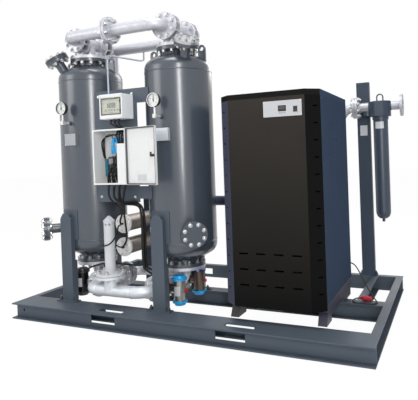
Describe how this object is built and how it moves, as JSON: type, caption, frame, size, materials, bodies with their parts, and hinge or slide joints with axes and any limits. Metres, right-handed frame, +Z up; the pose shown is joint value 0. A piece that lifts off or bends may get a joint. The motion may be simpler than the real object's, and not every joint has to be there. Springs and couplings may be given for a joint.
{
  "type": "desiccant air dryer",
  "caption": "Skid-mounted compressed air dryer with adsorber towers, valve piping, control enclosure, refrigerated pre-cooler cabinet and inlet filter.",
  "frame": {"origin": "middle of the skid's underside, on the bottom face of the middle beam", "axes": "+X along the skid toward the inlet filter, +Y from the control side to the back, +Z up"},
  "size_m": [2.86, 1.6019, 2.29],
  "materials": {
    "grey_paint": "satin blue-grey paint",
    "zinc_steel": "bright zinc",
    "screen_steel": "plain steel",
    "desiccant": "packed beads",
    "black_iron": "black coated iron",
    "red_plastic": "red moulding",
    "stainless": "warm stainless steel",
    "blue_plastic": "light blue moulding",
    "white_paint": "white paint",
    "black_plastic": "black moulding",
    "black_rubber": "black jacket",
    "grey_plastic": "light grey moulding",
    "smoked_window": "smoked clear cover",
    "cooler_black": "textured black-brown paint",
    "cooler_blue": "dark blue paint"
  },
  "bodies": {
    "frame": {"front_rail": "grey_paint", "rear_rail": "grey_paint", "left_rail": "grey_paint", "right_rail": "grey_paint", "front_deck": "grey_paint", "mid_beam": "grey_paint", "cross_beam": "grey_paint", "left_vessel": "grey_paint", "right_vessel": "grey_paint", "vessel_legs": "grey_paint", "desiccant_beds": "desiccant", "bed_screens": "screen_steel", "port_covers": "grey_paint", "nameplates": "zinc_steel", "top_tees": "zinc_steel", "check_valves": "black_iron", "left_outlet_spool": "zinc_steel", "right_outlet_spool": "zinc_steel", "rear_header": "zinc_steel", "bottom_tees": "zinc_steel", "valve_bodies": "black_iron", "actuator_bodies": "stainless", "actuator_caps": "blue_plastic", "exhaust_header": "zinc_steel", "exhaust_stack": "white_paint", "inlet_header": "zinc_steel", "heater_shells": "stainless", "heater_covers": "white_paint", "heater_post": "grey_paint", "mounting_panel": "grey_paint", "enclosure_box": "white_paint", "back_plate": "white_paint", "solenoid_valves": "blue_plastic", "terminal_gear": "black_plastic", "cable_glands": "black_plastic", "cable_harness": "black_rubber", "sensor_tube": "zinc_steel", "controller_case": "grey_plastic", "controller_window": "smoked_window", "gauge_cases": "black_plastic", "cooler_base": "cooler_black", "cooler_panels": "cooler_blue", "cooler_top_cover": "cooler_blue", "cooler_door": "cooler_black", "control_plate": "stainless", "cooling_unit": "cooler_black", "filter_head": "zinc_steel", "filter_bowl": "cooler_blue", "filter_post": "grey_paint", "power_cord": "black_rubber", "power_plug": "red_plastic"},
    "door": {"enclosure_door": "white_paint"},
    "lock": {"door_lock": "black_plastic"},
    "needle_left": {"left_needle": "black_plastic"},
    "needle_right": {"right_needle": "black_plastic"},
    "left_exhaust_plate": {"left_exhaust_disc": "red_plastic"},
    "right_exhaust_plate": {"right_exhaust_disc": "red_plastic"},
    "left_inlet_plate": {"left_inlet_disc": "red_plastic"},
    "right_inlet_plate": {"right_inlet_disc": "red_plastic"},
    "switch": {"rocker_switch": "black_plastic"}
  },
  "joints": [
    {"name": "door_hinge", "type": "hinge", "parent": "frame", "child": "door", "pos_m": [-0.313, -0.722, 1.24], "axis": [0, 0, 1], "range_deg": [-169, 0]},
    {"name": "lock_turn", "type": "hinge", "parent": "door", "child": "lock", "pos_m": [-0.03913, -0.77524, 1.24], "axis": [-0.1908, -0.9816, 0], "range_deg": [-90, 0]},
    {"name": "left_needle_turn", "type": "hinge", "parent": "frame", "child": "needle_left", "pos_m": [-0.945, -0.66, 1.629], "axis": [0, 1, 0], "range_deg": [-135, 135]},
    {"name": "right_needle_turn", "type": "hinge", "parent": "frame", "child": "needle_right", "pos_m": [-0.095, -0.66, 1.629], "axis": [0, 1, 0], "range_deg": [-135, 135]},
    {"name": "left_exhaust_valve", "type": "hinge", "parent": "frame", "child": "left_exhaust_plate", "pos_m": [-0.79, -0.473, 0.24], "axis": [1, 0, 0], "range_deg": [0, 90]},
    {"name": "right_exhaust_valve", "type": "hinge", "parent": "frame", "child": "right_exhaust_plate", "pos_m": [-0.25, -0.473, 0.24], "axis": [1, 0, 0], "range_deg": [0, 90]},
    {"name": "left_inlet_valve", "type": "hinge", "parent": "frame", "child": "left_inlet_plate", "pos_m": [-0.79, -0.187, 0.24], "axis": [1, 0, 0], "range_deg": [0, 90]},
    {"name": "right_inlet_valve", "type": "hinge", "parent": "frame", "child": "right_inlet_plate", "pos_m": [-0.25, -0.187, 0.24], "axis": [1, 0, 0], "range_deg": [0, 90]},
    {"name": "switch_rock", "type": "hinge", "parent": "frame", "child": "switch", "pos_m": [0.938, -0.651, 1.495], "axis": [1, 0, 0], "range_deg": [0, 12]}
  ]
}
